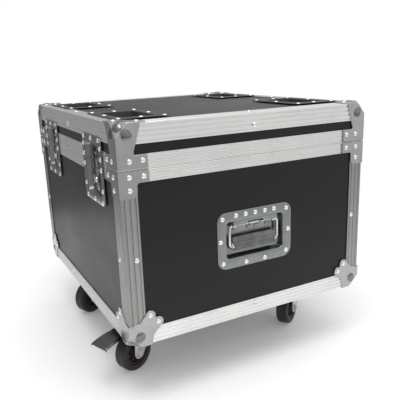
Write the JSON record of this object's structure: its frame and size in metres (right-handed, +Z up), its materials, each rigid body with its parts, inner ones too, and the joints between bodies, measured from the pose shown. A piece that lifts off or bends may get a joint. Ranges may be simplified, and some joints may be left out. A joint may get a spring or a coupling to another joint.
{
  "type": "flight case",
  "caption": "Black panelled flight case with aluminium edges, hinged lid, butterfly latches, recessed handles, stacking dishes and swivel castors.",
  "frame": {"origin": "on the ground, midway between the four castors, at the bottom centre of the case's box", "axes": "+X towards the hinges, -X towards the latches, -Y towards the front handle, +Z up"},
  "size_m": [0.5826, 0.558, 0.4915],
  "materials": {
    "black_laminate": "9 mm plywood with a satin black laminate face",
    "ribbed_aluminium": "extruded, with fine ribs along its length, lightly brushed",
    "zinc_steel": "pressed steel, zinc plated",
    "black_steel": "pressed steel, satin black",
    "black_rubber": "solid rubber tyre on a dark hub",
    "grip_rubber": "moulded grip on a zinc wire bail",
    "grey_foam": "dark grey foam sheet"
  },
  "bodies": {
    "case_base": {"floor_panel": "black_laminate", "front_panel": "black_laminate", "back_panel": "black_laminate", "left_panel": "black_laminate", "right_panel": "black_laminate", "bottom_edge_frame": "ribbed_aluminium", "base_groove_rim": "ribbed_aluminium", "corner_post_front_left": "ribbed_aluminium", "corner_post_front_right": "ribbed_aluminium", "corner_post_back_left": "ribbed_aluminium", "corner_post_back_right": "ribbed_aluminium", "ball_corner_front_left": "zinc_steel", "ball_corner_front_right": "zinc_steel", "ball_corner_back_left": "zinc_steel", "ball_corner_back_right": "zinc_steel", "handle_dish_front": "zinc_steel", "handle_dish_back": "zinc_steel", "latch_dish_front": "zinc_steel", "latch_dish_back": "zinc_steel", "castor_board_left": "black_laminate", "castor_board_right": "black_laminate", "castor_plate_front_left": "zinc_steel", "castor_plate_front_right": "zinc_steel", "castor_plate_back_left": "zinc_steel", "castor_plate_back_right": "zinc_steel", "hinge_base_leaf_front": "zinc_steel", "hinge_base_leaf_back": "zinc_steel", "foam_floor_pad": "grey_foam"},
    "lid": {"lid_top_panel": "black_laminate", "lid_wall_strips": "black_laminate", "lid_top_edge_frame": "ribbed_aluminium", "lid_tongue_rim": "ribbed_aluminium", "lid_corner_front_left": "zinc_steel", "lid_corner_front_right": "zinc_steel", "lid_corner_back_left": "zinc_steel", "lid_corner_back_right": "zinc_steel", "latch_keeper_front": "zinc_steel", "latch_keeper_back": "zinc_steel", "stacking_dish_front_left": "black_steel", "stacking_dish_front_right": "black_steel", "stacking_dish_back_left": "black_steel", "stacking_dish_back_right": "black_steel", "hinge_lid_leaf_front": "zinc_steel", "hinge_lid_leaf_back": "zinc_steel"},
    "handle_front": {"handle_bail_front": "grip_rubber"},
    "handle_back": {"handle_bail_back": "grip_rubber"},
    "wing_front": {"latch_wing_front": "zinc_steel"},
    "wing_back": {"latch_wing_back": "zinc_steel"},
    "hook_front": {"latch_hook_front": "zinc_steel"},
    "hook_back": {"latch_hook_back": "zinc_steel"},
    "fork_front_left": {"castor_fork_front_left": "zinc_steel"},
    "fork_front_right": {"castor_fork_front_right": "zinc_steel"},
    "fork_back_left": {"castor_fork_back_left": "zinc_steel"},
    "fork_back_right": {"castor_fork_back_right": "zinc_steel"},
    "wheel_front_left": {"castor_wheel_front_left": "black_rubber"},
    "wheel_front_right": {"castor_wheel_front_right": "black_rubber"},
    "wheel_back_left": {"castor_wheel_back_left": "black_rubber"},
    "wheel_back_right": {"castor_wheel_back_right": "black_rubber"},
    "pedal_front_left": {"brake_pedal_front_left": "zinc_steel"},
    "pedal_back_right": {"brake_pedal_back_right": "zinc_steel"}
  },
  "joints": [
    {"name": "lid_hinge", "type": "hinge", "parent": "case_base", "child": "lid", "pos_m": [0.254, 0, 0.414], "axis": [0, 1, 0], "range_deg": [0, 100]},
    {"name": "handle_front_swing", "type": "hinge", "parent": "case_base", "child": "handle_front", "pos_m": [0, -0.2685, 0.2905], "axis": [-1, 0, 0], "range_deg": [0, 85], "stiffness_Nm_per_rad": 0.25, "springref_deg": -11.46},
    {"name": "handle_back_swing", "type": "hinge", "parent": "case_base", "child": "handle_back", "pos_m": [0, 0.2685, 0.2905], "axis": [1, 0, 0], "range_deg": [0, 85], "stiffness_Nm_per_rad": 0.25, "springref_deg": -11.46},
    {"name": "wing_front_turn", "type": "hinge", "parent": "case_base", "child": "wing_front", "pos_m": [-0.2415, -0.15, 0.381], "axis": [-1, 0, 0], "range_deg": [0, 180]},
    {"name": "hook_front_slide", "type": "slide", "parent": "case_base", "child": "hook_front", "axis": [0, 0, 1], "range_m": [0, 0.008]},
    {"name": "wing_back_turn", "type": "hinge", "parent": "case_base", "child": "wing_back", "pos_m": [-0.2415, 0.15, 0.381], "axis": [-1, 0, 0], "range_deg": [0, 180]},
    {"name": "hook_back_slide", "type": "slide", "parent": "case_base", "child": "hook_back", "axis": [0, 0, 1], "range_m": [0, 0.008]},
    {"name": "front_left_swivel", "type": "hinge", "parent": "case_base", "child": "fork_front_left", "pos_m": [-0.181, -0.144, 0.105], "axis": [0, 0, 1], "continuous": true},
    {"name": "front_left_wheel_spin", "type": "hinge", "parent": "fork_front_left", "child": "wheel_front_left", "pos_m": [-0.20464, -0.15355, 0.0375], "axis": [0.3746, -0.9272, 0], "continuous": true},
    {"name": "front_left_brake", "type": "hinge", "parent": "fork_front_left", "child": "pedal_front_left", "pos_m": [-0.20325, -0.15299, 0.085], "axis": [0.3746, -0.9272, 0], "range_deg": [0, 12]},
    {"name": "front_right_swivel", "type": "hinge", "parent": "case_base", "child": "fork_front_right", "pos_m": [0.181, -0.144, 0.105], "axis": [0, 0, 1], "continuous": true},
    {"name": "front_right_wheel_spin", "type": "hinge", "parent": "fork_front_right", "child": "wheel_front_right", "pos_m": [0.15986, -0.15826, 0.0375], "axis": [0.5592, -0.829, 0], "continuous": true},
    {"name": "back_left_swivel", "type": "hinge", "parent": "case_base", "child": "fork_back_left", "pos_m": [-0.181, 0.144, 0.105], "axis": [0, 0, 1], "continuous": true},
    {"name": "back_left_wheel_spin", "type": "hinge", "parent": "fork_back_left", "child": "wheel_back_left", "pos_m": [-0.2043, 0.13363, 0.0375], "axis": [0.4067, -0.9135, 0], "continuous": true},
    {"name": "back_right_swivel", "type": "hinge", "parent": "case_base", "child": "fork_back_right", "pos_m": [0.181, 0.144, 0.105], "axis": [0, 0, 1], "continuous": true},
    {"name": "back_right_wheel_spin", "type": "hinge", "parent": "fork_back_right", "child": "wheel_back_right", "pos_m": [0.20464, 0.15355, 0.0375], "axis": [-0.3746, 0.9272, 0], "continuous": true},
    {"name": "back_right_brake", "type": "hinge", "parent": "fork_back_right", "child": "pedal_back_right", "pos_m": [0.20325, 0.15299, 0.085], "axis": [-0.3746, 0.9272, 0], "range_deg": [0, 12]}
  ],
  "couplings": [
    {"joint": "wing_front_turn", "follows": "hook_front_slide", "rad_per_m": 392.69},
    {"joint": "wing_back_turn", "follows": "hook_back_slide", "rad_per_m": 392.69}
  ]
}
